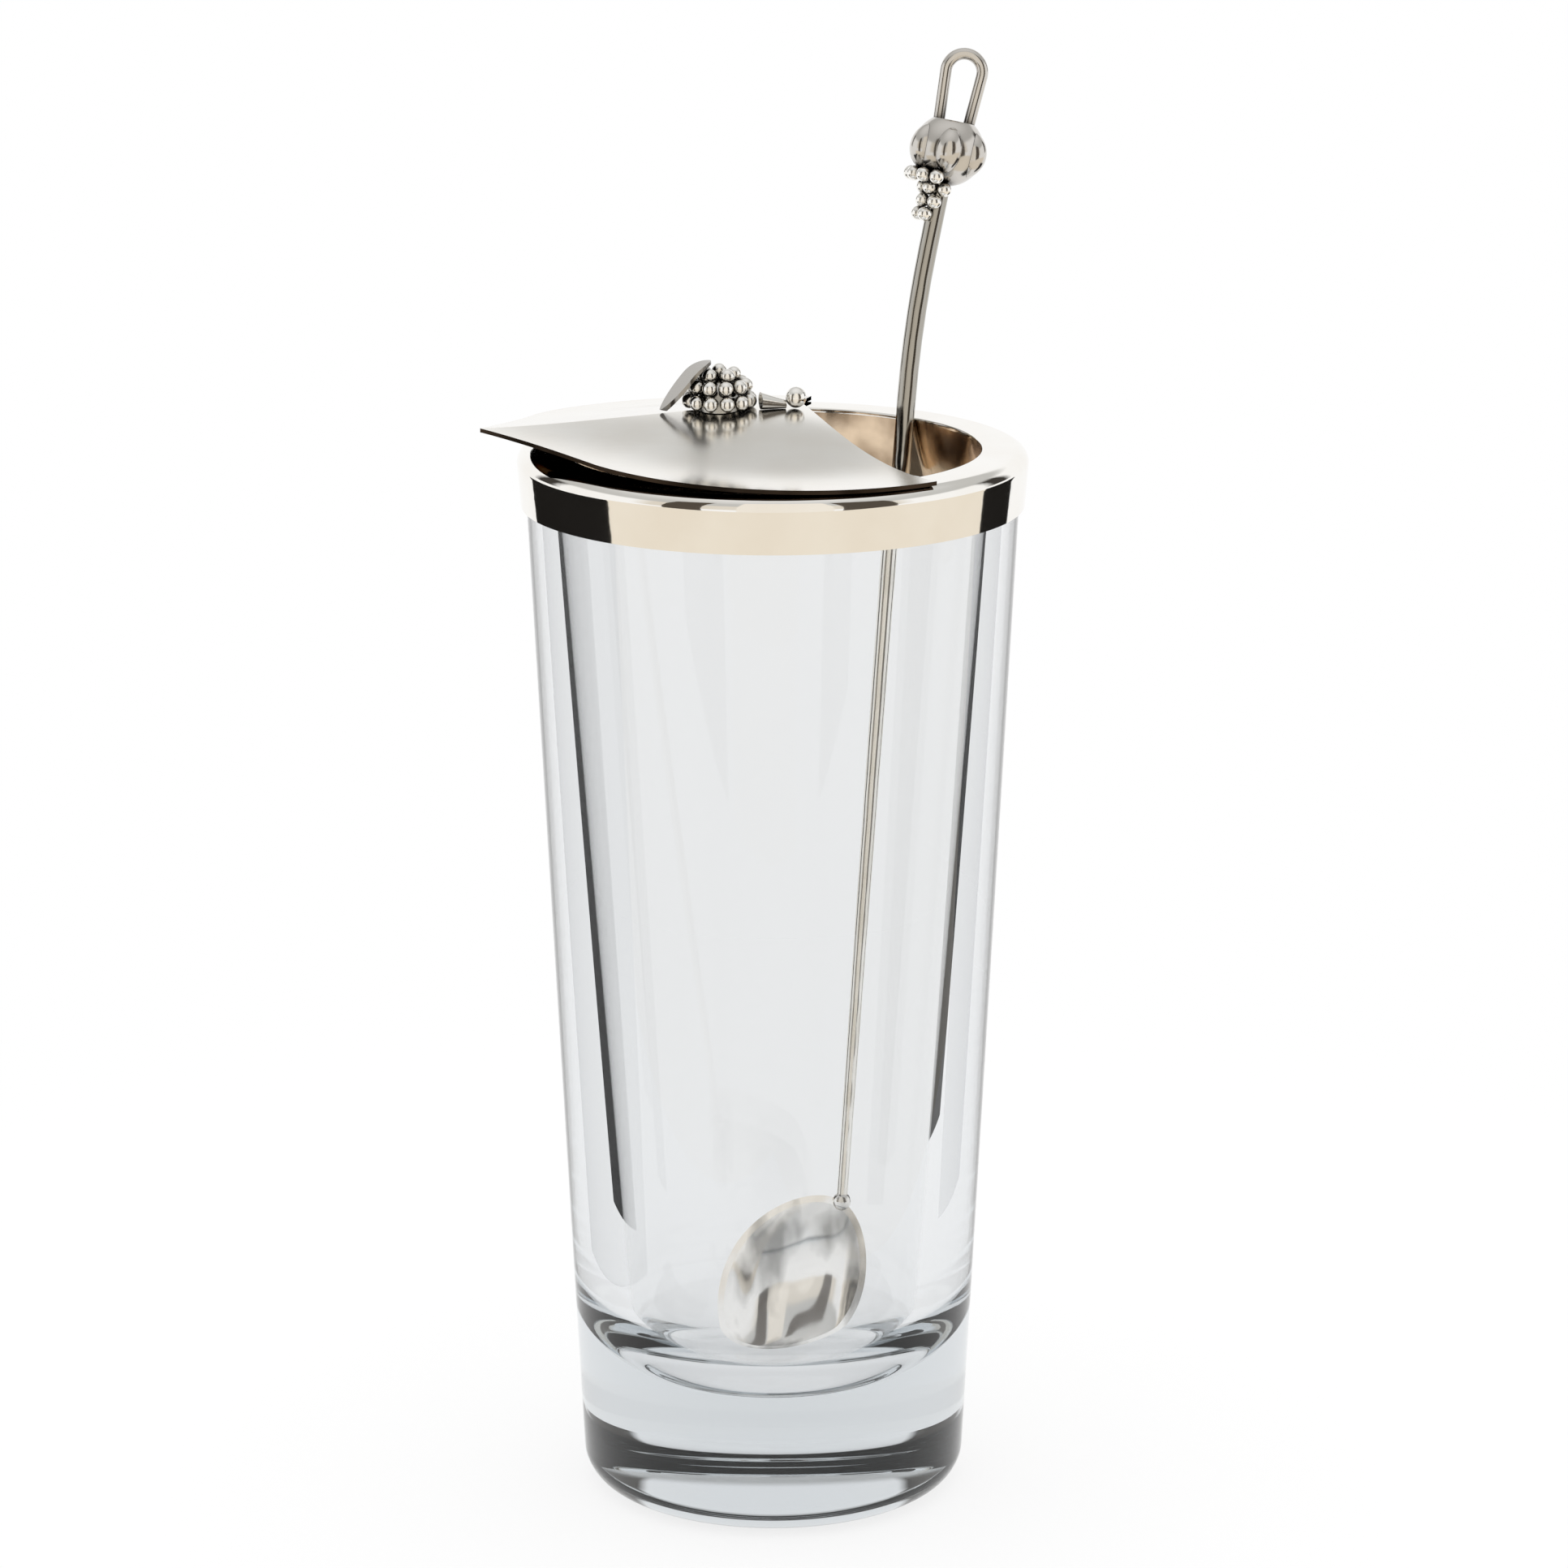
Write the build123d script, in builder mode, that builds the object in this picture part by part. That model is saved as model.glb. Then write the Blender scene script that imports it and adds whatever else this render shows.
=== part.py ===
"""Cocktail pitcher: a heavy glass vessel in a silver rim mount, with a pouring hood and a mixing spoon.

Millimetres. The origin is the middle of the base, +Z is up and the pouring lip points along -X.
"""
import os
from math import acos, asin, atan2, cos, degrees, floor, hypot, radians, sin, sqrt

from build123d import *

# Glass vessel
glass_height = 234.5
glass_base_radius = 42.45
glass_rim_radius = 54.2
glass_base_round = 8.0
glass_lip_round = 1.2
rim_wall = 6.6
floor_wall = 12.5
cavity_floor_height = 26.8
cavity_floor_round = 22.0

# Rim mount
silver_sheet = 0.9
cement_over_rim = 1.6
cement_outside = 0.35
cement_inside = 0.4
bond_line = 0.05
band_height = 12.4
band_flare = 1.05
shoulder_round = 3.0
sleeve_height = 12.2

# Pouring hood
hood_inset = 1.0
hood_crown_height = 9.3
lip_reach = 9.0
lip_lift = 6.3
lip_edge_hollow = 0.8
lip_tip_round = 1.5
rim_taper_power = 2.2
hood_end_bearing = 114.0
cut_middle = 7.0
solder_gap = 0.05

# Finial on the hood's ridge
finial_offset = 12.0
finial_core_radius = 5.1
finial_core_rise = 1.2
berry_radius = 1.62
berry_gap = 0.1
leaf_thickness = 0.8
leaf_width = 8.0
leaf_top_elevation = 78.0
leaf_tip_offset = 12.8
twig_radius = 1.9
twig_end_radius = 0.9
twig_length = 5.6
twig_side = 4.5
twig_bud_radius = 2.3

# Mixing spoon
spoon_rest_bearing = 32.0
spoon_rest_gap = 0.3
spoon_turn = -15.0
spoon_foot_x = 16.0
spoon_foot_y = -2.2
bowl_length = 43.2
bowl_width = 31.0
bowl_depth = 8.0
bowl_wall = 1.2
bowl_side_angle = 27.0
bowl_deepest = 21.5
knuckle_radius = 2.1
knuckle_height = 1.6
stem_foot_radius = 1.25
stem_top_radius = 2.1
stem_straight_over_rim = 4.0
stem_bend_angle = 7.0
stem_bend_length = 34.0
stem_neck_length = 14.8
bud_core_radius = 8.0
bud_top_flat_radius = 4.7
bud_foot_margin = 0.3
petal_count = 6
petal_sink = 1.7
petal_gap = 0.1
petal_middle = -3.0
petal_half_length = 57.0
spoon_berry_radius = 1.6
spoon_berry_seat = 42.0
spoon_berry_row_pitch = 3.0
spoon_berry_rows = 4
spoon_berry_top_row = 5
spoon_berry_bearing = 205.0
loop_wire_radius = 1.3
loop_bend_radius = 4.05
loop_height = 17.6
loop_leg_angle = 3.5


def glass_outer_radius(height):
    """Radius of the vessel's outer cone at a height."""
    return glass_base_radius + (glass_rim_radius - glass_base_radius) * height / glass_height


cavity_rim_radius = glass_rim_radius - rim_wall
cavity_floor_radius = glass_outer_radius(cavity_floor_height) - floor_wall


def cavity_radius(height):
    """Radius of the vessel's inner cone at a height."""
    share = (height - cavity_floor_height) / (glass_height - cavity_floor_height)
    return cavity_floor_radius + (cavity_rim_radius - cavity_floor_radius) * share


# Levels and radii that follow from the sizes above
flange_under = glass_height + cement_over_rim
collar_top = flange_under + silver_sheet
band_foot = collar_top - band_height
sleeve_foot = flange_under - sleeve_height
band_foot_inner = glass_outer_radius(band_foot) + cement_outside
band_foot_outer = band_foot_inner + silver_sheet
band_top_inner = band_foot_inner + band_flare
collar_radius = band_top_inner + silver_sheet
sleeve_outer = cavity_radius(sleeve_foot) - cement_inside
mouth_radius = sleeve_outer - silver_sheet
hood_radius = collar_radius - hood_inset
lip_tip = collar_radius + lip_reach
lip_tangent_bearing = degrees(acos(hood_radius / lip_tip))


def polar(radius, bearing):
    """Point in plan at a bearing counted from the pouring lip's axis."""
    return (-radius * cos(radians(bearing)), radius * sin(radians(bearing)))


def hood_top(x, y):
    """Height of the hood's upper face: a crown that eases down to the rim and stays high along the lip."""
    bearing = degrees(atan2(abs(y), -x))
    reach = hood_radius
    if bearing < lip_tangent_bearing:
        reach = hood_radius / cos(radians(lip_tangent_bearing - bearing))
    taper = max(0.0, 1 - bearing / hood_end_bearing) ** rim_taper_power
    rim_height = silver_sheet + solder_gap + lip_lift * taper
    share = min(1.0, hypot(x, y) / reach)
    fall = share * share * (3 - 2 * share)
    return collar_top + hood_crown_height - (hood_crown_height - rim_height) * fall


def mid_plane(x, height):
    """Plane of symmetry of the hood, with its origin at a point of that plane."""
    return Plane((x, 0, height), x_dir=(1, 0, 0), z_dir=(0, -1, 0))


# Glass vessel: one blown and polished piece
with BuildPart() as glass_vessel:
    with BuildSketch(Plane.XZ) as glass_section:
        with BuildLine():
            Polyline(
                (0, 0),
                (glass_base_radius, 0),
                (glass_rim_radius, glass_height),
                (cavity_rim_radius, glass_height),
                (cavity_floor_radius, cavity_floor_height),
                (0, cavity_floor_height),
                close=True,
            )
        make_face()
        corner_rounds = [
            ((glass_base_radius, 0), glass_base_round),
            ((glass_rim_radius, glass_height), glass_lip_round),
            ((cavity_rim_radius, glass_height), glass_lip_round),
            ((cavity_floor_radius, cavity_floor_height), cavity_floor_round),
        ]
        for corner, corner_round in corner_rounds:
            fillet(glass_section.vertices().sort_by_distance(corner)[0], corner_round)
    revolve(axis=Axis.Z)

# Collar band: outer band, rounded shoulder and flat flange pressed from one sheet
with BuildPart() as collar_band:
    with BuildSketch(Plane.XZ) as band_section:
        with BuildLine():
            Polyline(
                (band_foot_inner, band_foot),
                (band_foot_outer, band_foot),
                (collar_radius, collar_top),
                (mouth_radius, collar_top),
                (mouth_radius, flange_under),
                (band_top_inner, flange_under),
                close=True,
            )
        make_face()
        corner_rounds = [
            ((collar_radius, collar_top), shoulder_round),
            ((band_top_inner, flange_under), shoulder_round - silver_sheet),
        ]
        for corner, corner_round in corner_rounds:
            fillet(band_section.vertices().sort_by_distance(corner)[0], corner_round)
    revolve(axis=Axis.Z)

# Collar sleeve: inner wall of the mount, soldered under the flange
with BuildPart() as collar_sleeve:
    with BuildSketch(Plane.XY.offset(sleeve_foot)):
        Circle(sleeve_outer)
        Circle(mouth_radius, mode=Mode.SUBTRACT)
    extrude(amount=sleeve_height)

# Cement bed: fills the mount over the glass rim, outside it and inside it
with BuildPart() as cement_bed:
    with BuildSketch(Plane.XZ) as cement_section:
        with BuildLine():
            Polyline(
                (band_foot_inner - bond_line, band_foot),
                (band_top_inner - bond_line, flange_under),
                (sleeve_outer + bond_line, flange_under),
                (sleeve_outer + bond_line, sleeve_foot),
                (cavity_radius(sleeve_foot) - bond_line, sleeve_foot),
                (cavity_rim_radius - bond_line, glass_height),
                (glass_rim_radius + bond_line, glass_height),
                (glass_outer_radius(band_foot) + bond_line, band_foot),
                close=True,
            )
        make_face()
        corner = (band_top_inner - bond_line, flange_under)
        fillet(cement_section.vertices().sort_by_distance(corner)[0], shoulder_round - silver_sheet)
    revolve(axis=Axis.Z)

# Hood: one raised sheet, lofted through arched strips and trimmed to its plan
hood_end = polar(hood_radius, hood_end_bearing)
hood_stations = 10
strip_points = 13
strip_reach = hood_radius + hood_inset
station_first = -lip_tip - hood_inset
station_step = (hood_end[0] + hood_inset - station_first) / (hood_stations - 1)
strip_step = 2 * strip_reach / (strip_points - 1)
strip_widths = [strip_step * point - strip_reach for point in range(strip_points)]
with BuildPart() as hood:
    for station in range(hood_stations):
        station_x = station_first + station * station_step
        crest = [(width, hood_top(station_x, width)) for width in strip_widths]
        with BuildSketch(Plane.YZ.offset(station_x)):
            with BuildLine():
                upper = Spline(crest)
                lower = Spline([(width, height - silver_sheet) for width, height in crest])
                Line(upper @ 0, lower @ 0)
                Line(upper @ 1, lower @ 1)
            make_face()
    loft()
    with BuildSketch(Plane.XY.offset(collar_top)) as hood_plan:
        with BuildLine():
            lip_end = polar(hood_radius, lip_tangent_bearing)
            rim_middle = polar(hood_radius, (lip_tangent_bearing + hood_end_bearing) / 2)
            SagittaArc((-lip_tip, 0), lip_end, lip_edge_hollow)
            ThreePointArc(lip_end, rim_middle, hood_end)
            mirror(about=Plane.XZ)
            ThreePointArc(hood_end, (cut_middle, 0), (hood_end[0], -hood_end[1]))
        make_face()
        fillet(hood_plan.vertices().sort_by(Axis.X)[0], lip_tip_round)
    extrude(amount=2 * hood_crown_height, mode=Mode.INTERSECT)

# Finial core: domed seat for the berries, fitted to the hood's ridge
finial_x = -finial_offset
finial_level = collar_top + hood_crown_height + solder_gap
finial_centre = finial_level + finial_core_rise
finial_axis = Axis((finial_x, 0, 0), (0, 0, 1))
with BuildPart() as finial_core:
    with BuildSketch(mid_plane(finial_x, finial_centre)):
        with BuildLine():
            Polyline(
                (finial_core_radius, 0),
                (finial_core_radius, -finial_core_rise - silver_sheet),
                (0, -finial_core_rise - silver_sheet),
                (0, finial_core_radius),
            )
            CenterArc((0, 0), finial_core_radius, 0, 90)
        make_face()
    revolve(axis=finial_axis)
    add(hood.part.moved(Location((0, 0, solder_gap))), mode=Mode.SUBTRACT)

# Finial berries: rings of beads that climb the dome, each ring with as many beads as fit
berry_reach = finial_core_radius + berry_radius + solder_gap
berry_outer = berry_reach + berry_radius
first_elevation = degrees(asin((berry_radius + solder_gap - finial_core_rise) / berry_reach))
closest_pitch = 2 * degrees(asin((berry_radius + berry_gap / 2) / berry_reach))
berry_rings = floor((90 - first_elevation) / closest_pitch)
ring_pitch = (90 - first_elevation) / berry_rings
with BuildPart() as finial_berries:
    for ring in range(berry_rings):
        elevation = radians(first_elevation + ring * ring_pitch)
        ring_radius = berry_reach * cos(elevation)
        ring_count = floor(180 / degrees(asin((berry_radius + berry_gap / 2) / ring_radius)))
        with Locations((finial_x, 0, finial_centre + berry_reach * sin(elevation))):
            with PolarLocations(ring_radius, ring_count, start_angle=ring * 180 / ring_count):
                Sphere(berry_radius)
    with Locations((finial_x, 0, finial_centre + berry_reach)):
        Sphere(berry_radius)

# Finial leaf: wraps over the berries, then runs straight down to its tip on the ridge
leaf_reach = berry_outer + berry_gap
leaf_tip_level = hood_top(finial_x - leaf_tip_offset, 0) + solder_gap
leaf_tip_drop = finial_centre - leaf_tip_level
leaf_tip_reach = hypot(leaf_tip_offset, leaf_tip_drop)
leaf_leave = degrees(acos(leaf_reach / leaf_tip_reach) - atan2(leaf_tip_drop, leaf_tip_offset))
leaf_wrap = leaf_top_elevation - leaf_leave
leaf_run = sqrt(leaf_tip_reach**2 - leaf_reach**2)
with BuildPart() as finial_leaf:
    with BuildSketch(mid_plane(finial_x, finial_centre)):
        with BuildLine():
            under = CenterArc((0, 0), leaf_reach, 180 - leaf_top_elevation, leaf_wrap)
            over = CenterArc((0, 0), leaf_reach + leaf_thickness, 180 - leaf_top_elevation, leaf_wrap)
            inside = PolarLine(under @ 1, leaf_run, direction=under % 1)
            outside = PolarLine(over @ 1, leaf_run, direction=over % 1)
            Line(under @ 0, over @ 0)
            Line(inside @ 1, outside @ 1)
        make_face()
    extrude(amount=leaf_width / 2, both=True)
    leaf_box = finial_leaf.part.bounding_box()
    with BuildSketch(Plane.XY.offset(finial_level)):
        with BuildLine():
            leaf_middle = (leaf_box.min.X + leaf_box.max.X) / 2
            ThreePointArc((leaf_box.min.X, 0), (leaf_middle, leaf_width / 2), (leaf_box.max.X, 0))
            mirror(about=Plane.XZ)
        make_face()
    extrude(amount=2 * leaf_reach, mode=Mode.INTERSECT)

# Finial twig: tapered stalk along the ridge, from the berries towards the open mouth
twig_start = finial_x + sqrt((berry_outer + berry_gap) ** 2 - (twig_side - twig_radius) ** 2)
twig_end = twig_start + twig_length
twig_level = hood_top(0, twig_side) + solder_gap
with BuildPart() as finial_twig:
    with BuildSketch(Plane((twig_start, -twig_side, twig_level + twig_radius), z_dir=(1, 0, 0))):
        Circle(twig_radius)
    with BuildSketch(Plane((twig_end, -twig_side, twig_level + twig_end_radius), z_dir=(1, 0, 0))):
        Circle(twig_end_radius)
    loft()

# Twig bud: round bead at the twig's end
with BuildPart() as twig_bud:
    with Locations((twig_end + twig_bud_radius, -twig_side, twig_level + twig_bud_radius)):
        Sphere(twig_bud_radius)

# Spoon frame: the stem leans on the mouth's edge and the bowl stands on the cavity's floor
rest_radius = mouth_radius - stem_top_radius - spoon_rest_gap
rest_bearing = radians(spoon_rest_bearing)
rest_point = Vector(rest_radius * cos(rest_bearing), rest_radius * sin(rest_bearing), collar_top)
trial_foot = Vector(spoon_foot_x, spoon_foot_y, cavity_floor_height + bowl_length)
stem_way = (rest_point - trial_foot).normalized()
turn = Vector(cos(radians(spoon_turn)), sin(radians(spoon_turn)), 0)
across = (turn - stem_way * turn.dot(stem_way)).normalized()
facing = across.cross(stem_way)
bowl_way = stem_way.rotate(Axis((0, 0, 0), facing), 180 - bowl_side_angle)

# Spoon bowl: cap of an egg-shaped shell of revolution, with a knuckle that takes the stem
bowl_round = ((bowl_width / 2) ** 2 + bowl_depth**2) / (2 * bowl_depth)
rim_offset = bowl_round - bowl_depth
bowl_axis_origin = trial_foot + facing * rim_offset
with BuildPart() as bowl_blank:
    with BuildSketch(Plane(bowl_axis_origin, x_dir=bowl_way, z_dir=bowl_way.cross(-facing))):
        with BuildLine():
            back = Spline((0, rim_offset), (bowl_deepest, bowl_round), (bowl_length, rim_offset))
            hollow = Spline(
                (0, rim_offset - bowl_wall),
                (bowl_deepest, bowl_round - bowl_wall),
                (bowl_length, rim_offset - bowl_wall),
            )
            Line(back @ 0, hollow @ 0)
            Line(back @ 1, hollow @ 1)
        make_face()
    revolve(axis=Axis(bowl_axis_origin, bowl_way))
    split(bisect_by=Plane(trial_foot, z_dir=facing), keep=Keep.BOTTOM)
    with Locations(trial_foot):
        Sphere(knuckle_radius)
    split(bisect_by=Plane(trial_foot + stem_way * knuckle_height, z_dir=stem_way), keep=Keep.BOTTOM)
bowl_lowest = bowl_blank.part.bounding_box().min.Z
seat_shift = stem_way * ((cavity_floor_height + spoon_rest_gap - bowl_lowest) / stem_way.Z)
with BuildPart() as spoon_bowl:
    add(bowl_blank.part.moved(Location(seat_shift)))

# Spoon stem: a long taper, a gentle bend over the rim and a straight neck
spoon_foot = trial_foot + seat_shift
spoon_face = Plane(spoon_foot, x_dir=across, z_dir=facing)
stem_straight_end = (rest_point - spoon_foot).length + stem_straight_over_rim
with BuildPart() as spoon_stem:
    with BuildSketch(Plane(spoon_foot + stem_way * knuckle_height, x_dir=across, z_dir=stem_way)):
        Circle(stem_foot_radius)
    with BuildSketch(Plane(spoon_foot + stem_way * stem_straight_end, x_dir=across, z_dir=stem_way)):
        Circle(stem_top_radius)
    loft()
    with BuildLine(spoon_face) as stem_path:
        bend = JernArc(
            start=(0, stem_straight_end),
            tangent=(0, 1),
            radius=stem_bend_length / radians(stem_bend_angle),
            arc_size=-stem_bend_angle,
        )
        neck = PolarLine(bend @ 1, stem_neck_length, direction=bend % 1)
    with BuildSketch(Plane(stem_path.line @ 0, x_dir=across, z_dir=stem_way)):
        Circle(stem_top_radius)
    sweep(path=stem_path.line)

# Spoon bud: round core on top of the neck, flat where the stem and the loop are soldered on
neck_end = stem_path.line @ 1
bud_way = (stem_path.line % 1).normalized()
bud_across = (across - bud_way * across.dot(bud_way)).normalized()
bud_foot_radius = stem_top_radius + bud_foot_margin
bud_foot_depth = sqrt(bud_core_radius**2 - bud_foot_radius**2)
bud_top_height = sqrt(bud_core_radius**2 - bud_top_flat_radius**2)
bud_centre = neck_end + bud_way * bud_foot_depth
bud_face = Plane(bud_centre, x_dir=bud_across, z_dir=facing)
with BuildPart() as spoon_bud:
    with BuildSketch(bud_face):
        with BuildLine():
            Polyline(
                (bud_foot_radius, -bud_foot_depth),
                (0, -bud_foot_depth),
                (0, bud_top_height),
                (bud_top_flat_radius, bud_top_height),
            )
            ThreePointArc(
                (bud_foot_radius, -bud_foot_depth),
                (bud_core_radius, 0),
                (bud_top_flat_radius, bud_top_height),
            )
        make_face()
    revolve(axis=Axis(bud_centre, bud_way))

# Spoon petals: plump petals side by side round the bud's core, each thickest at its middle
petal_ring = bud_core_radius - petal_sink
petal_stations = 7
with BuildPart() as spoon_petals:
    for petal in range(petal_count):
        petal_turn = radians((petal + 0.5) * 360 / petal_count)
        around = bud_across * cos(petal_turn) + facing * sin(petal_turn)
        for station in range(petal_stations):
            share = 2 * (station + 0.5) / petal_stations - 1
            climb = radians(petal_middle + share * petal_half_length)
            room = petal_ring * cos(climb) * sin(radians(180 / petal_count)) - petal_gap / 2
            outwards = around * cos(climb) + bud_way * sin(climb)
            along = bud_way * cos(climb) - around * sin(climb)
            with BuildSketch(Plane(bud_centre + outwards * petal_ring, x_dir=outwards, z_dir=along)):
                Circle(room * sqrt(1 - share**2))
        loft()
    with Locations(bud_centre):
        Sphere(bud_core_radius + solder_gap, mode=Mode.SUBTRACT)

# Spoon berries: a bunch whose top row leans on the bud and whose other rows hug the neck
neck_reach = stem_top_radius + spoon_berry_radius + solder_gap
seat_reach = bud_core_radius + spoon_berry_radius + solder_gap
seat_radius = seat_reach * cos(radians(spoon_berry_seat))
seat_drop = seat_reach * sin(radians(spoon_berry_seat))
berry_pitch = 2 * spoon_berry_radius + berry_gap
neck_drop = max(seat_drop + spoon_berry_radius, sqrt(seat_reach**2 - neck_reach**2))
with BuildPart() as spoon_berries:
    for row in range(spoon_berry_rows):
        row_radius = seat_radius if row == 0 else neck_reach
        row_drop = seat_drop if row == 0 else neck_drop + (row - 1) * spoon_berry_row_pitch
        row_count = spoon_berry_top_row - row
        row_centre = bud_centre - bud_way * row_drop
        bead_step = 2 * degrees(asin(berry_pitch / 2 / row_radius))
        row_start = spoon_berry_bearing - (row_count - 1) * bead_step / 2
        for bead in range(row_count):
            bead_turn = radians(row_start + bead * bead_step)
            outwards = bud_across * cos(bead_turn) - facing * sin(bead_turn)
            with Locations(row_centre + outwards * row_radius):
                Sphere(spoon_berry_radius)

# Spoon loop: bent wire whose two legs stand on the bud's flat top
leg_tilt = radians(loop_leg_angle)
leg_drop = loop_height - loop_bend_radius * sin(leg_tilt) - bud_top_height + loop_wire_radius
with BuildPart() as spoon_loop:
    with BuildLine(bud_face) as loop_path:
        crown = CenterArc((0, loop_height), loop_bend_radius, -loop_leg_angle, 180 + 2 * loop_leg_angle)
        PolarLine(crown @ 0, leg_drop / cos(leg_tilt), angle=-90 - loop_leg_angle)
        PolarLine(crown @ 1, leg_drop / cos(leg_tilt), angle=-90 + loop_leg_angle)
    loop_wire = loop_path.wires()[0]
    with BuildSketch(Plane(loop_wire @ 0, z_dir=loop_wire % 0)):
        Circle(loop_wire_radius)
    sweep(path=loop_wire)
    split(bisect_by=Plane(bud_centre + bud_way * bud_top_height, z_dir=bud_way), keep=Keep.TOP)

pieces = {
    "glass_vessel": glass_vessel,
    "cement_bed": cement_bed,
    "collar_band": collar_band,
    "collar_sleeve": collar_sleeve,
    "hood": hood,
    "finial_core": finial_core,
    "finial_berries": finial_berries,
    "finial_leaf": finial_leaf,
    "finial_twig": finial_twig,
    "twig_bud": twig_bud,
    "spoon_bowl": spoon_bowl,
    "spoon_stem": spoon_stem,
    "spoon_bud": spoon_bud,
    "spoon_petals": spoon_petals,
    "spoon_berries": spoon_berries,
    "spoon_loop": spoon_loop,
}
os.makedirs("parts", exist_ok=True)
for name, piece in pieces.items():
    piece.part.label = name
    export_step(piece.part, f"parts/{name}.step")
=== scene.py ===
"""Looks of the cocktail pitcher: clear glass, polished silver mount, berry finial and mixing spoon."""
from math import acos, asin, atan2, cos, degrees, hypot, pi, radians, sin

import bmesh
import bpy
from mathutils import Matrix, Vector


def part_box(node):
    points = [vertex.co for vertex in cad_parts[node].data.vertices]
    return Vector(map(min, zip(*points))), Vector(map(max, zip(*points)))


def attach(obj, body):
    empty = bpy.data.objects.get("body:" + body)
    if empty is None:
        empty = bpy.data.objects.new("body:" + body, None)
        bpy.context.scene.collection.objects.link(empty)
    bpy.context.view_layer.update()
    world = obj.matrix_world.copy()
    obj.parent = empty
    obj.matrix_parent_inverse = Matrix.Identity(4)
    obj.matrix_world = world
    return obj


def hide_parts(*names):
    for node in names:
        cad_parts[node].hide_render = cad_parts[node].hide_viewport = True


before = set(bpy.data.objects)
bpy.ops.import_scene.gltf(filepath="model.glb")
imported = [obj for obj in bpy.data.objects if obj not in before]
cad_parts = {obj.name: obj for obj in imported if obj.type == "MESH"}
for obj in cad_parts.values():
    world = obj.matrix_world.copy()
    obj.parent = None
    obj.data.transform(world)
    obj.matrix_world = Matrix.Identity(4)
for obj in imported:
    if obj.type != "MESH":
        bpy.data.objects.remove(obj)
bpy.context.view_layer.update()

MM = 0.001

# Sizes shared with the solids
glass_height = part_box("glass_vessel")[1].z
glass_base_radius = 42.45 * MM
glass_rim_radius = 54.2 * MM
glass_base_round = 8.0 * MM
glass_lip_round = 1.2 * MM
rim_wall = 6.6 * MM
floor_wall = 12.5 * MM
cavity_floor_height = 26.8 * MM
cavity_floor_round = 22.0 * MM
cavity_rim_radius = glass_rim_radius - rim_wall
glass_widening = (glass_rim_radius - glass_base_radius) / glass_height
cavity_floor_radius = glass_base_radius + glass_widening * cavity_floor_height - floor_wall

silver_sheet = 0.9 * MM
collar_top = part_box("collar_band")[1].z
band_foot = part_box("collar_band")[0].z
band_foot_inner = 54.05 * MM
band_flare = 1.05 * MM
shoulder_round = 3.0 * MM
mouth_round = 0.45 * silver_sheet
flange_under = collar_top - silver_sheet
sleeve_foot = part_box("collar_sleeve")[0].z
sleeve_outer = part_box("collar_sleeve")[1].x
mouth_radius = sleeve_outer - silver_sheet
collar_radius = band_foot_inner + band_flare + silver_sheet

hood_inset = 1.0 * MM
hood_radius = collar_radius - hood_inset
hood_crown_height = 9.3 * MM
lip_reach = 9.0 * MM
lip_tip = collar_radius + lip_reach
lip_lift = 6.3 * MM
lip_edge_hollow = 0.8 * MM
rim_taper_power = 2.2
hood_end_bearing = 114.0
cut_middle = 7.0 * MM
solder_gap = 0.05 * MM
lip_tangent_bearing = degrees(acos(hood_radius / lip_tip))

# Steps round the axis of the turned pieces
turned_steps = 240

# The photograph's viewpoint
camera_place = Vector((-0.3201, -1.2042, 0.482))
camera_way = Vector((0.2506, 0.9354, -0.2494))
camera_lens = 133.7
camera_sensor = 36.0
view_turn = radians(15)


class Wire:
    """A node's output in a tree. Arithmetic on wires adds Math nodes to that tree."""

    def __init__(self, tree, socket=None):
        self.tree = tree
        self.socket = socket

    def node(self, kind, settings, inputs, out=0):
        """Adds a node with its settings and the values or wires of its sockets."""
        made = self.tree.nodes.new(kind)
        for name, value in settings.items():
            if name == "stops":
                set_stops(made.color_ramp, value)
            else:
                setattr(made, name, value)
        for key, value in inputs.items():
            if isinstance(value, Wire):
                self.tree.links.new(value.socket, made.inputs[key])
            else:
                made.inputs[key].default_value = value
        return Wire(self.tree, made.outputs[out])

    def math(self, operation, first, second):
        return self.node("ShaderNodeMath", {"operation": operation}, {0: first, 1: second})

    def __add__(self, other):
        return self.math("ADD", self, other)

    def __sub__(self, other):
        return self.math("SUBTRACT", self, other)

    def __rsub__(self, other):
        return self.math("SUBTRACT", other, self)

    def __mul__(self, other):
        return self.math("MULTIPLY", self, other)

    __radd__ = __add__
    __rmul__ = __mul__


def set_stops(colour_ramp, stops):
    """Gives a colour ramp its stops, as pairs of place and colour."""
    while len(colour_ramp.elements) < len(stops):
        colour_ramp.elements.new(1.0)
    for element, (place, colour) in zip(colour_ramp.elements, stops):
        element.position = place
        element.color = (*colour, 1.0)


def new_material(name):
    """A material with an empty tree, and a wire on it to make nodes with."""
    material = bpy.data.materials.new(name)
    material.use_nodes = True
    material.node_tree.nodes.clear()
    return material, Wire(material.node_tree)


def link_output(start, socket_name, wire, kind="ShaderNodeOutputMaterial"):
    """Links a wire to the tree's output node, which is made once."""
    found = [node for node in start.tree.nodes if node.bl_idname == kind]
    output = found[0] if found else start.tree.nodes.new(kind)
    start.tree.links.new(wire.socket, output.inputs[socket_name])


def object_place(start):
    return start.node("ShaderNodeTexCoord", {}, {}, out="Object")


def height_of(place):
    """The upright part of a place or a direction."""
    return place.node("ShaderNodeSeparateXYZ", {}, {"Vector": place}, out="Z")


def noise(place, scale, detail):
    inputs = {"Vector": place, "Scale": scale, "Detail": detail}
    return place.node("ShaderNodeTexNoise", {}, inputs, out="Fac")


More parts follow.
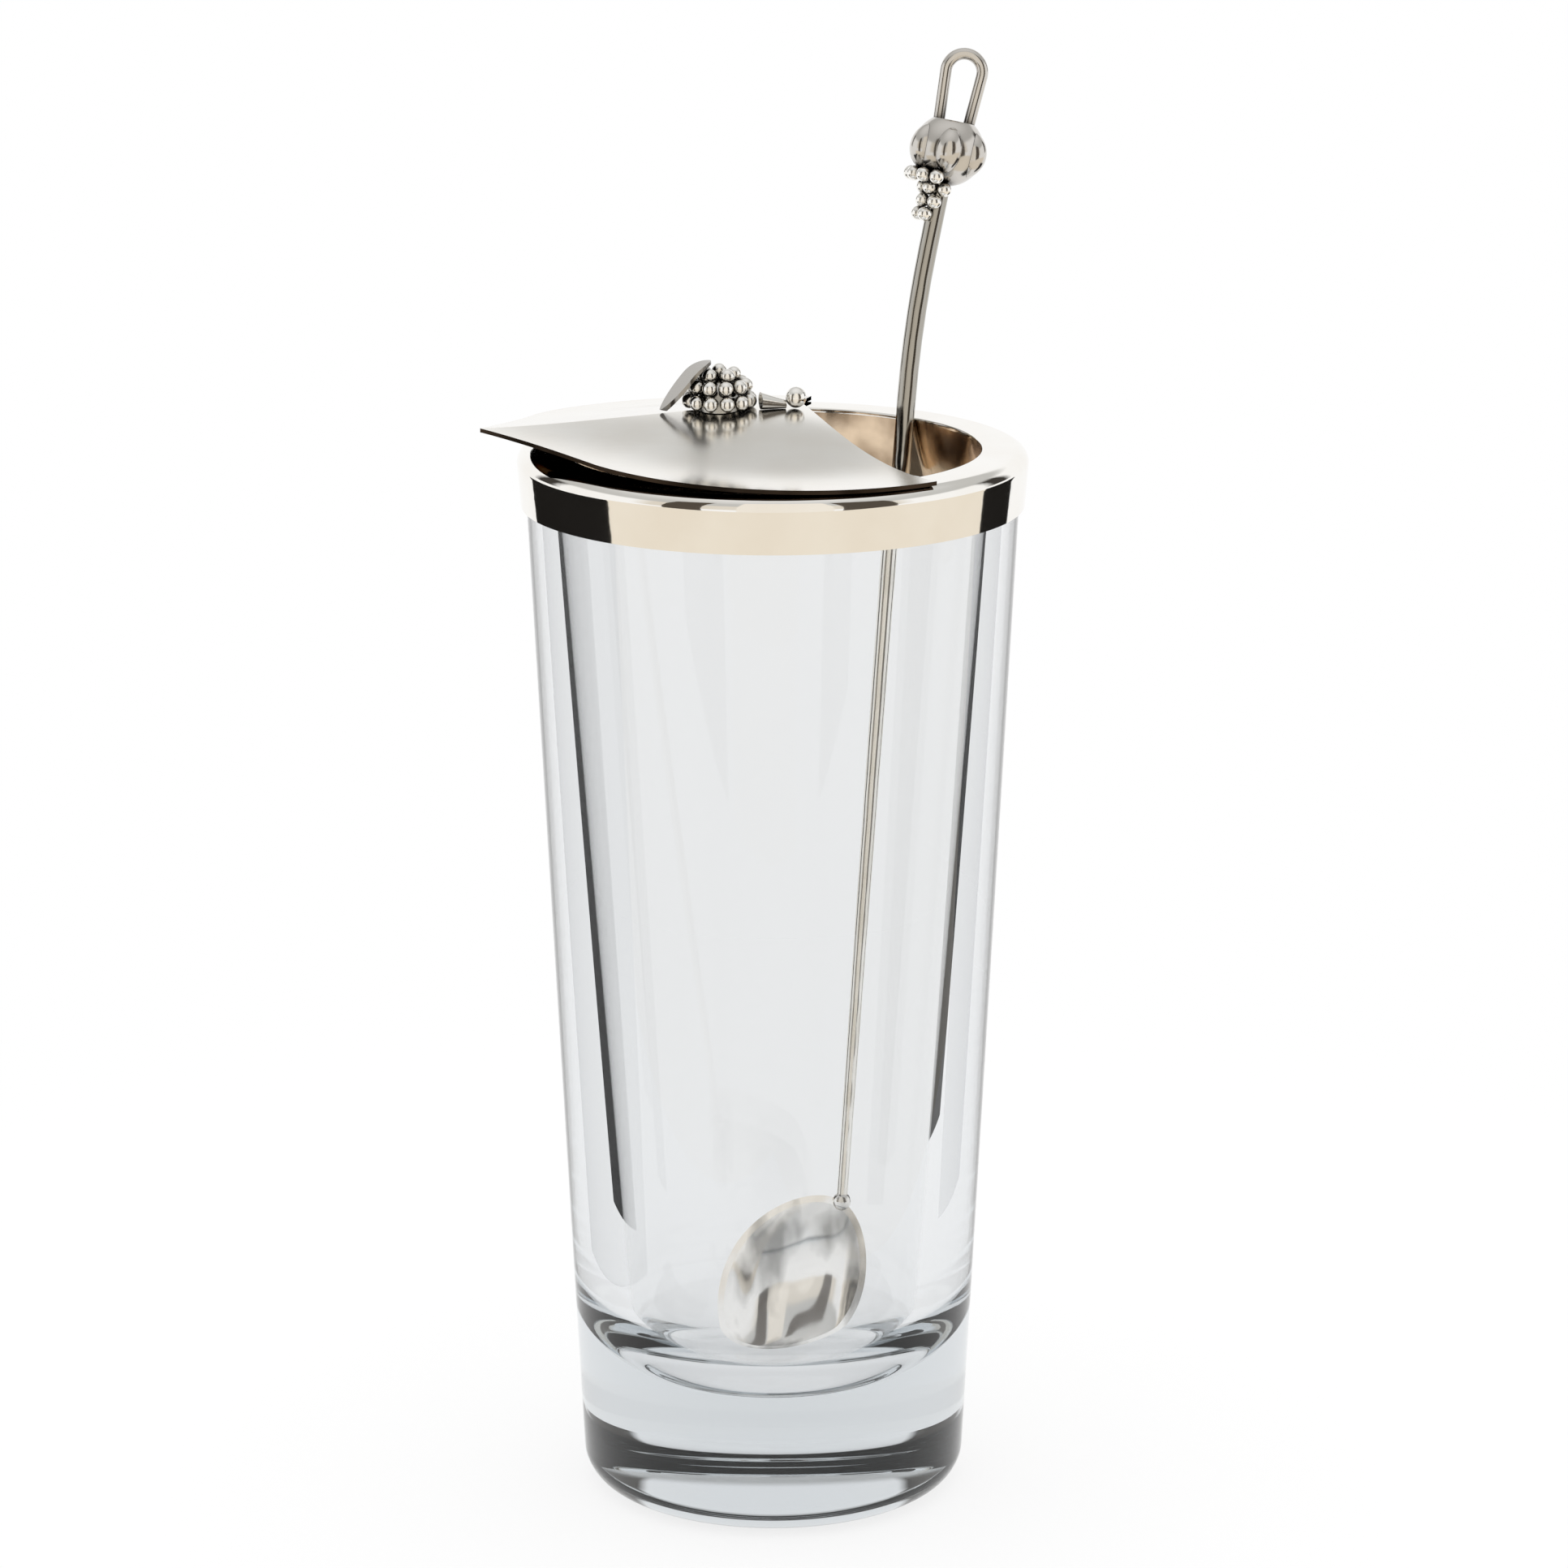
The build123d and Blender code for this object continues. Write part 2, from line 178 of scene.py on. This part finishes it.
def ramp(factor, *stops):
    return factor.node("ShaderNodeValToRGB", {"stops": stops}, {"Fac": factor}, out="Color")


def ease(value, first, last, low=0.0):
    """Eases from a low share up to 1 while a value goes from a first to a last one."""
    inputs = {"Value": value, "From Min": first, "From Max": last, "To Min": low}
    return value.node("ShaderNodeMapRange", {"interpolation_type": "SMOOTHSTEP"}, inputs, out="Result")


def blend(factor, first, second):
    """Mixes two colours."""
    return factor.node("ShaderNodeMix", {"data_type": "RGBA"}, {0: factor, 6: first, 7: second}, out=2)


def bump(height, depth, strength=1.0):
    """A normal with marks that follow a height, over a depth."""
    inputs = {"Strength": strength, "Distance": depth, "Height": height}
    return height.node("ShaderNodeBump", {}, inputs, out="Normal")


def principled(start, inputs):
    return start.node("ShaderNodeBsdfPrincipled", {}, inputs)


def ray_is(start, kind):
    """1 for rays of a kind, 0 for others."""
    return start.node("ShaderNodeLightPath", {}, {}, out=f"Is {kind} Ray")


def silver_finish(
    name,
    tones,
    roughness,
    mark_scale,
    mark_depth,
    upright_share=1.0,
    edge_tone=(1, 1, 1),
    cloud_span=(0.35, 0.65),
    painted_shade=None,
):
    """Silver in clouds between two tones, and with marks of a size and a depth.

    An upright share below 1 draws clouds and marks out upwards. A painted shade is given as a
    tone and the two heights between which it sets in.
    """
    cloud_scale = 70.0
    cloud_detail = 3.0
    cloud_roughness = 0.04
    mark_detail = 0.0
    material, start = new_material(name)
    place = object_place(start)
    drawn = start.node("ShaderNodeMapping", {}, {"Vector": place, "Scale": (1, 1, upright_share)})
    clouds = noise(drawn, cloud_scale, cloud_detail)
    marks = noise(drawn, mark_scale, mark_detail)
    colour = ramp(clouds, *zip(cloud_span, tones))
    # Painted shade: a darker tone that sets in between two heights
    if painted_shade:
        shade_tone, shade_foot, shade_top = painted_shade
        shade_share = ease(height_of(place), shade_foot, shade_top)
        colour = blend(shade_share, colour, (*shade_tone, 1))
    inputs = {
        "Base Color": colour,
        "Metallic": 1.0,
        "Roughness": clouds * cloud_roughness + roughness,
        "Specular Tint": (*edge_tone, 1),
        "Normal": bump(marks, mark_depth),
    }
    link_output(start, "Surface", principled(start, inputs))
    return material


def oxidised_silver(name, recess, half_open, high, depth):
    """Cast ornament: a tone on high places, darker ones in recesses of a depth: oxide and painted shade."""
    cloud_scale = 180.0
    cloud_detail = 3.0
    cloud_roughness = 0.12
    least_roughness = 0.08
    material, start = new_material(name)
    place = object_place(start)
    clouds = noise(place, cloud_scale, cloud_detail)
    settings = {"samples": 8, "only_local": False}
    # Occlusion mask: hollows and places near other parts get the darker tones, as oxide and painted shade
    open_share = start.node("ShaderNodeAmbientOcclusion", settings, {"Distance": depth}, out="AO")
    inputs = {
        "Base Color": ramp(open_share, (0.2, recess), (0.6, half_open), (0.95, high)),
        "Metallic": 1.0,
        "Roughness": clouds * cloud_roughness + least_roughness,
    }
    link_output(start, "Surface", principled(start, inputs))
    return material


def clear_glass():
    """Thick clear glass with a faint cool tint that shows in the heavy base."""
    material, start = new_material("clear_glass")
    inputs = {
        "Base Color": (0.937, 0.940, 0.943, 1),
        "Transmission Weight": 1.0,
        "IOR": 1.52,
        "Roughness": 0.0,
    }
    tint = start.node("ShaderNodeVolumeAbsorption", {}, {"Color": (0.50, 0.56, 0.60, 1), "Density": 8.6})
    link_output(start, "Surface", principled(start, inputs))
    link_output(start, "Volume", tint)
    return material


def setting_cement():
    """Pale plaster with a grainy surface."""
    grain_scale = 1200.0
    grain_detail = 4.0
    grain_depth = 0.1 * MM
    grain_strength = 0.4
    material, start = new_material("setting_cement")
    grain = noise(object_place(start), grain_scale, grain_detail)
    inputs = {
        "Base Color": ramp(grain, (0.3, (0.55, 0.52, 0.46)), (0.7, (0.72, 0.69, 0.62))),
        "Roughness": 0.9,
        "Normal": bump(grain, grain_depth, grain_strength),
    }
    link_output(start, "Surface", principled(start, inputs))
    return material


def new_piece(bm, name, body, material, nodes, sharp_angle=40):
    """Turns a bmesh into a smooth piece that rides on a body and stands for CAD nodes."""
    mesh = bpy.data.meshes.new(name)
    bm.to_mesh(mesh)
    bm.free()
    mesh.materials.append(material)
    mesh.polygons.foreach_set("use_smooth", [True] * len(mesh.polygons))
    mesh.set_sharp_from_angle(angle=radians(sharp_angle))
    piece = bpy.data.objects.new(name, mesh)
    bpy.context.scene.collection.objects.link(piece)
    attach(piece, body)
    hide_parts(*nodes)
    return piece


def arc(centre, radius, first, last, steps):
    """Points on an arc in the section plane, angles in degrees."""
    turns = [radians(first + (last - first) * step / steps) for step in range(steps + 1)]
    return [(centre[0] + radius * cos(turn), centre[1] + radius * sin(turn)) for turn in turns]


def round_corner(before, corner, after, radius, steps):
    """Points of a fillet at a corner of a section."""
    corner = Vector(corner)
    way_in = (Vector(before) - corner).normalized()
    way_out = (Vector(after) - corner).normalized()
    half = way_in.angle(way_out) / 2
    reach = radius / sin(half)
    tangent = reach * cos(half)
    centre = corner + (way_in + way_out).normalized() * reach
    start = corner + way_in * tangent - centre
    end = corner + way_out * tangent - centre
    first = degrees(atan2(start.y, start.x))
    turn = degrees(end.angle_signed(start))
    return arc(centre, radius, first, first + turn, steps)


def lathe(section, closed):
    """Spins a section of (radius, height) points round the Z axis."""
    merge_distance = 0.001 * MM
    bm = bmesh.new()
    verts = [bm.verts.new((radius, 0, height)) for radius, height in section]
    edges = [bm.edges.new(pair) for pair in zip(verts, verts[1:])]
    if closed:
        edges.append(bm.edges.new((verts[-1], verts[0])))
    bmesh.ops.spin(
        bm,
        geom=verts + edges,
        cent=(0, 0, 0),
        axis=(0, 0, 1),
        angle=2 * pi,
        steps=turned_steps,
        use_merge=True,
        use_duplicate=False,
    )
    bmesh.ops.remove_doubles(bm, verts=bm.verts, dist=merge_distance)
    bmesh.ops.recalc_face_normals(bm, faces=bm.faces)
    return bm


def spread(first, last, steps):
    """Evenly spaced points between two points of a section, ends left out."""
    first, last = Vector(first), Vector(last)
    return [tuple(first.lerp(last, step / steps)) for step in range(1, steps)]


def glass_vessel(material):
    flat_steps = 16
    wall_steps = 48
    lip_steps = 12
    base_round_steps = 24
    floor_round_steps = 32
    sharp_angle = 60
    base_middle = (0, 0)
    foot = (glass_base_radius, 0)
    rim = (glass_rim_radius, glass_height)
    cavity_rim = (cavity_rim_radius, glass_height)
    cavity_corner = (cavity_floor_radius, cavity_floor_height)
    floor_middle = (0, cavity_floor_height)
    base_edge = round_corner(base_middle, foot, rim, glass_base_round, base_round_steps)
    outer_lip = round_corner(foot, rim, cavity_rim, glass_lip_round, lip_steps)
    inner_lip = round_corner(rim, cavity_rim, cavity_corner, glass_lip_round, lip_steps)
    cavity_edge = round_corner(
        cavity_rim, cavity_corner, floor_middle, cavity_floor_round, floor_round_steps
    )
    section = [base_middle] + spread(base_middle, base_edge[0], flat_steps)
    section += base_edge + spread(base_edge[-1], outer_lip[0], wall_steps)
    section += outer_lip + inner_lip + spread(inner_lip[-1], cavity_edge[0], wall_steps)
    section += cavity_edge + spread(cavity_edge[-1], floor_middle, flat_steps)
    section.append(floor_middle)
    bm = lathe(section, closed=False)
    return new_piece(bm, "pitcher_glass", "pitcher", material, ["glass_vessel"], sharp_angle)


def collar(material):
    shoulder_steps = 16
    mouth_steps = 8
    under_steps = 12
    under_round = shoulder_round - silver_sheet
    foot_inner = (band_foot_inner, band_foot)
    foot_outer = (band_foot_inner + silver_sheet, band_foot)
    shoulder = (collar_radius, collar_top)
    mouth = (mouth_radius, collar_top)
    mouth_under = (mouth_radius, flange_under)
    shoulder_under = (collar_radius - silver_sheet, flange_under)
    section = [foot_inner, foot_outer]
    section += round_corner(foot_outer, shoulder, mouth, shoulder_round, shoulder_steps)
    section += round_corner(shoulder, mouth, mouth_under, mouth_round, mouth_steps)
    section.append(mouth_under)
    section += round_corner(mouth_under, shoulder_under, foot_inner, under_round, under_steps)
    bm = lathe(section, closed=True)
    return new_piece(bm, "rim_collar", "pitcher", material, ["collar_band"])


def sleeve(material):
    section = [
        (mouth_radius, sleeve_foot),
        (sleeve_outer, sleeve_foot),
        (sleeve_outer, flange_under),
        (mouth_radius, flange_under),
    ]
    bm = lathe(section, closed=True)
    return new_piece(bm, "rim_sleeve", "pitcher", material, ["collar_sleeve"])


def polar(radius, bearing):
    """Point in plan at a bearing counted from the pouring lip's axis."""
    return Vector((-radius * cos(radians(bearing)), radius * sin(radians(bearing)), 0))


def hood_top(x, y):
    """Height of the hood's upper face: a crown that eases down to the rim and stays high along the lip."""
    bearing = degrees(atan2(abs(y), -x))
    reach = hood_radius
    if bearing < lip_tangent_bearing:
        reach = hood_radius / cos(radians(lip_tangent_bearing - bearing))
    taper = max(0.0, 1 - bearing / hood_end_bearing) ** rim_taper_power
    rim_height = silver_sheet + solder_gap + lip_lift * taper
    share = min(1.0, hypot(x, y) / reach)
    fall = share * share * (3 - 2 * share)
    return collar_top + hood_crown_height - (hood_crown_height - rim_height) * fall


def edge_chain(bm, points):
    """A chain of edges through points."""
    verts = [bm.verts.new(point) for point in points]
    return [bm.edges.new(pair) for pair in zip(verts, verts[1:])]


def hood_outline():
    """The hood's edge in plan from one end of its rim, round the pouring lip, to the other end."""
    lip_steps = 60
    rim_steps = 140
    lip_end = polar(hood_radius, lip_tangent_bearing)
    tip = Vector((-lip_tip, 0, 0))
    inwards = (lip_end - tip).normalized().cross(Vector((0, 0, 1)))
    rim_sweep = hood_end_bearing - lip_tangent_bearing
    half = []
    for step in range(lip_steps):
        share = step / lip_steps
        hollow = 4 * lip_edge_hollow * share * (1 - share)
        half.append(tip.lerp(lip_end, share) + inwards * hollow)
    for step in range(rim_steps + 1):
        half.append(polar(hood_radius, lip_tangent_bearing + rim_sweep * step / rim_steps))
    return [Vector((point.x, -point.y, 0)) for point in reversed(half[1:])] + half


def hood_cut(count):
    """The hood's hollow edge over the open half of the mouth, as an arc with a count of points."""
    end = polar(hood_radius, hood_end_bearing)
    rise = end.x - cut_middle
    cut_radius = (end.y**2 + rise**2) / (2 * rise)
    cut_turn = asin(end.y / cut_radius)
    points = []
    for step in range(count):
        turn = cut_turn * (2 * step / (count - 1) - 1)
        points.append(Vector((cut_middle + cut_radius * (1 - cos(turn)), cut_radius * sin(turn), 0)))
    return points


def hood(material, underside):
    sheet_cuts = 70
    merge_distance = 0.01 * MM
    least_upper_tilt = 0.2
    outline = hood_outline()
    bm = bmesh.new()
    rim_edges = edge_chain(bm, outline)
    cut_edges = edge_chain(bm, hood_cut(len(outline)))
    bridge = bmesh.ops.bridge_loops(bm, edges=rim_edges + cut_edges)
    bmesh.ops.subdivide_edges(bm, edges=bridge["edges"], cuts=sheet_cuts, use_grid_fill=True)
    for vert in bm.verts:
        vert.co.z = hood_top(vert.co.x, vert.co.y)
    bmesh.ops.remove_doubles(bm, verts=bm.verts, dist=merge_distance)
    bmesh.ops.recalc_face_normals(bm, faces=bm.faces)
    bmesh.ops.solidify(bm, geom=bm.faces[:], thickness=silver_sheet)
    # Painted shade: the underside and the edges take the near black finish
    for face in bm.faces:
        if face.normal.z < least_upper_tilt:
            face.material_index = 1
    piece = new_piece(bm, "pouring_hood", "pitcher", material, ["hood"])
    piece.data.materials.append(underside)
    return piece


def stage_point(right, away, height):
    """A point given to the right of the object and away from the camera."""
    return Vector((
        right * cos(view_turn) + away * sin(view_turn),
        -right * sin(view_turn) + away * cos(view_turn),
        height,
    ))


def upright(first, last, top, lean=0.0):
    """Corners of a panel that stands on the floor between two places; its last edge may lean away."""
    return [
        stage_point(*first, 0.0),
        stage_point(*last, 0.0),
        stage_point(last[0], last[1] + lean, top),
        stage_point(*first, top),
    ]


def stage_panel(name, corners, material):
    """A flat piece of the stage through its corners."""
    bm = bmesh.new()
    bm.faces.new([bm.verts.new(corner) for corner in corners])
    mesh = bpy.data.meshes.new(name)
    bm.to_mesh(mesh)
    bm.free()
    mesh.materials.append(material)
    panel = bpy.data.objects.new(name, mesh)
    bpy.context.scene.collection.objects.link(panel)
    return panel


def glow_material(name, colour):
    material, start = new_material(name)
    shader = start.node("ShaderNodeEmission", {}, {"Color": (*colour, 1), "Strength": 1.0})
    link_output(start, "Surface", shader)
    return material


def floor_material():
    """Pale floor: partly diffuse near the object, to keep the shadow, and plain white further off."""
    shadow_reach = 0.10
    white_from = 0.40
    least_white = 0.78
    mirrored_white = 0.85
    material, start = new_material("floor_white")
    away = start.node("ShaderNodeVectorMath", {"operation": "LENGTH"}, {0: object_place(start)}, out="Value")
    far = ease(away, shadow_reach, white_from, least_white)
    near_shader = start.node("ShaderNodeBsdfDiffuse", {}, {"Color": (0.95, 0.95, 0.95, 1)})
    far_shader = start.node("ShaderNodeEmission", {}, {"Color": (1, 1, 1, 1), "Strength": 1.0})
    bounced = start.math("MAXIMUM", ray_is(start, "Glossy"), ray_is(start, "Transmission"))
    plain = start.math("MAXIMUM", far, bounced * mirrored_white)
    mixed = start.node("ShaderNodeMixShader", {}, {0: plain, 1: near_shader, 2: far_shader})
    link_output(start, "Surface", mixed)
    return material


def build_stage():
    """The floor, and panels that show only in the silver or through the glass.

    The line panels make the dark lines in the glass. The block panels make the dark ends of the
    collar's band, and the card makes its pale middle. The room panels stand on the camera's side.
    """
    reach = 12.0
    level = -0.3 * MM
    card_level = 2 * MM
    line_top = 0.30
    block_top = 0.21
    room_top = 1.4
    room_away = -0.9
    far_lean = 0.034
    left_side = -0.16
    right_side = 0.20
    left_far = (left_side, 0.074)
    right_far = (right_side, 0.108)
    floor_plan = [(-reach, -reach), (reach, -reach), (reach, reach), (-reach, reach)]
    card_left = [(-1.4, -0.28), (-0.35, -0.098)]
    card_right = [(0.35, 0.081), (1.4, 0.47)]
    card_plan = card_left + [(0, -0.25)] + card_right + [(1.4, room_away), (-1.4, room_away)]
    card = [stage_point(*point, card_level) for point in card_plan]
    black = glow_material("flag_black", (0.012, 0.011, 0.010))
    cream = glow_material("card_cream", (0.88, 0.81, 0.70))
    brown = glow_material("room_brown", (0.09, 0.075, 0.06))
    pale = glow_material("room_pale", (0.92, 0.87, 0.79))
    line_panels = {
        "line_left": upright((left_side, 0.01), left_far, line_top, far_lean),
        "line_right": upright((right_side, 0.065), right_far, line_top, far_lean),
    }
    block_panels = {
        "block_left": upright((left_side, -0.066), left_far, block_top, far_lean),
        "block_right": upright((right_side, 0.025), right_far, block_top, far_lean),
    }
    brown_panels = {
        "room_left": upright((-1.03, room_away), (-0.54, room_away), room_top),
        "room_right": upright((0.53, room_away), (1.33, room_away), room_top),
    }
    pale_panels = {"room_middle": upright((-0.25, room_away), (0.45, room_away), room_top)}
    groups = [
        (line_panels, black, {"mirrored": False, "refracted": True}),
        (block_panels, black, {"mirrored": True, "refracted": False}),
        (brown_panels, brown, {"mirrored": True, "refracted": True}),
        (pale_panels, pale, {"mirrored": True, "refracted": True}),
        ({"card_front": card}, cream, {"mirrored": True, "refracted": False}),
    ]
    stage_panel("floor", [(x, y, level) for x, y in floor_plan], floor_material())
    for panels, material, shown in groups:
        for name, corners in panels.items():
            panel = stage_panel(name, corners, material)
            panel.visible_camera = False
            panel.visible_diffuse = False
            panel.visible_shadow = False
            panel.visible_glossy = shown["mirrored"]
            panel.visible_transmission = shown["refracted"]


def build_world():
    """White sweep behind the object, dim room round it and a pale ceiling; diffuse light is even.

    The bearing of a direction goes from 0 towards the camera to 1 behind the object.
    """
    light_strength = 1.18
    ceiling_from = 0.38
    ceiling_whole = 0.52
    front = (0.78, 0.73, 0.65)
    dim = (0.05, 0.045, 0.04)
    white = (1, 1, 1)
    low_ceiling = (0.56, 0.56, 0.55)
    mid_ceiling = (0.60, 0.60, 0.59)
    high_ceiling = (0.85, 0.85, 0.85)
    world = bpy.data.worlds.new("studio")
    bpy.context.scene.world = world
    world.use_nodes = True
    world.node_tree.nodes.clear()
    start = Wire(world.node_tree)
    way = start.node("ShaderNodeTexCoord", {}, {}, out="Generated")
    height = height_of(way)
    behind = stage_point(0, 1, 0)
    away = start.node("ShaderNodeVectorMath", {"operation": "DOT_PRODUCT"}, {0: way, 1: behind}, out="Value")
    level_length = start.math("SQRT", 1.0 - height * height, 0.0)
    bearing = start.math("DIVIDE", away, level_length) * 0.5 + 0.5
    near_walls = ((0.22, front), (0.30, white), (0.66, white), (0.72, dim))
    refracted_walls = ramp(bearing, *near_walls, (0.90, dim), (0.92, white))
    mirrored_walls = ramp(bearing, *near_walls, (0.80, dim), (0.84, white))
    walls = blend(ray_is(start, "Reflection"), refracted_walls, mirrored_walls)
    ceiling = ramp(height, (0.45, low_ceiling), (0.70, mid_ceiling), (1.0, high_ceiling))
    glow = blend(ease(height, ceiling_from, ceiling_whole), walls, ceiling)
    room = start.node("ShaderNodeBackground", {}, {"Color": glow, "Strength": 1.0})
    light = start.node("ShaderNodeBackground", {}, {"Color": (1, 1, 1, 1), "Strength": light_strength})
    mixed = start.node("ShaderNodeMixShader", {}, {0: ray_is(start, "Diffuse"), 1: room, 2: light})
    link_output(start, "Surface", mixed, "ShaderNodeOutputWorld")


def build_camera():
    lens = bpy.data.cameras.new("camera")
    lens.lens = camera_lens
    lens.sensor_width = camera_sensor
    camera = bpy.data.objects.new("camera", lens)
    camera.location = camera_place
    camera.rotation_euler = camera_way.to_track_quat("-Z", "Y").to_euler()
    bpy.context.scene.collection.objects.link(camera)
    bpy.context.scene.camera = camera


# View and bounces, enough for light to cross the thick glass
scene = bpy.context.scene
scene.view_settings.view_transform = "Standard"
scene.cycles.max_bounces = 32
scene.cycles.transmission_bounces = 32
scene.cycles.glossy_bounces = 12

# Finishes
bright_tones = ((0.90, 0.87, 0.82), (0.93, 0.91, 0.87))
brown_tones = ((0.20, 0.12, 0.06), (0.86, 0.67, 0.48))
# Painted shade: near black tones for the hood's underside and edges
underside_shade_tones = ((0.015, 0.011, 0.008), (0.05, 0.035, 0.025))
stem_tones = ((0.80, 0.77, 0.71), (0.94, 0.92, 0.88))
# Painted reflection: light and dark tones for streaks in the bowl
bowl_reflection_tones = ((0.40, 0.39, 0.37), (1.0, 0.98, 0.95))
polish_marks = {"mark_scale": 900.0, "mark_depth": 0.003 * MM}
polished = silver_finish("polished_silver", bright_tones, roughness=0.03, **polish_marks)
satin = silver_finish("satin_silver", bright_tones, roughness=0.16, **polish_marks)

# Painted shade: the stem is darker above the mouth, and turns so over a stretch just below it
stem_low, stem_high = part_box("spoon_stem")
shade_run = 0.12 * (stem_high.z - stem_low.z)
worked = silver_finish(
    "worked_silver",
    stem_tones,
    roughness=0.10,
    mark_scale=160.0,
    mark_depth=0.2 * MM,
    painted_shade=((0.42, 0.40, 0.36), collar_top - shade_run, collar_top),
)
# The bowl: its clouds are painted reflection, light and dark streaks drawn out upwards
burnished = silver_finish(
    "burnished_silver",
    bowl_reflection_tones,
    roughness=0.09,
    mark_scale=95.0,
    mark_depth=2.4 * MM,
    upright_share=0.4,
    cloud_span=(0.36, 0.48),
)
# The sleeve: silver in clouds between a dark and a light brown
brown_finish = silver_finish(
    "brown_silver", brown_tones, roughness=0.08, mark_scale=120.0, mark_depth=0.12 * MM
)
# Painted shade under the hood, with a dark edge tone
underside_shade = silver_finish(
    "underside_shade_silver",
    underside_shade_tones,
    roughness=0.15,
    mark_scale=300.0,
    mark_depth=0.02 * MM,
    edge_tone=(0.12, 0.10, 0.08),
)
# Ornaments, darker in their hollows, as oxide and painted shade
ornament = oxidised_silver(
    "oxidised_silver",
    recess=(0.10, 0.095, 0.085),
    half_open=(0.66, 0.64, 0.60),
    high=(0.94, 0.92, 0.88),
    depth=2.0 * MM,
)
# Painted shade: a darker copy for the spoon's bud, petals and loop, darkening far out from the hollows
shaded_ornament = oxidised_silver(
    "dark_oxide_and_shade_silver",
    recess=(0.03, 0.028, 0.025),
    half_open=(0.14, 0.13, 0.12),
    high=(0.64, 0.61, 0.57),
    depth=6.0 * MM,
)
# Painted shade: the darkest copy, for the finial's leaf
shaded_leaf_ornament = oxidised_silver(
    "leaf_oxide_and_shade_silver",
    recess=(0.02, 0.018, 0.016),
    half_open=(0.07, 0.065, 0.06),
    high=(0.36, 0.34, 0.31),
    depth=6.0 * MM,
)

# Pieces with finer edges than the solids
glass_vessel(clear_glass())
collar(polished)
sleeve(brown_finish)
hood(satin, underside_shade)

# Solids that keep their shape and get a finish
cad_finish = {
    "cement_bed": setting_cement(),
    "finial_core": ornament,
    "finial_berries": ornament,
    "finial_leaf": shaded_leaf_ornament,
    "finial_twig": ornament,
    "twig_bud": ornament,
    "spoon_bowl": burnished,
    "spoon_stem": worked,
    "spoon_bud": shaded_ornament,
    "spoon_petals": shaded_ornament,
    "spoon_berries": ornament,
    "spoon_loop": shaded_ornament,
}
for node_name, material in cad_finish.items():
    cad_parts[node_name].data.materials[0] = material

build_stage()
build_world()
build_camera()
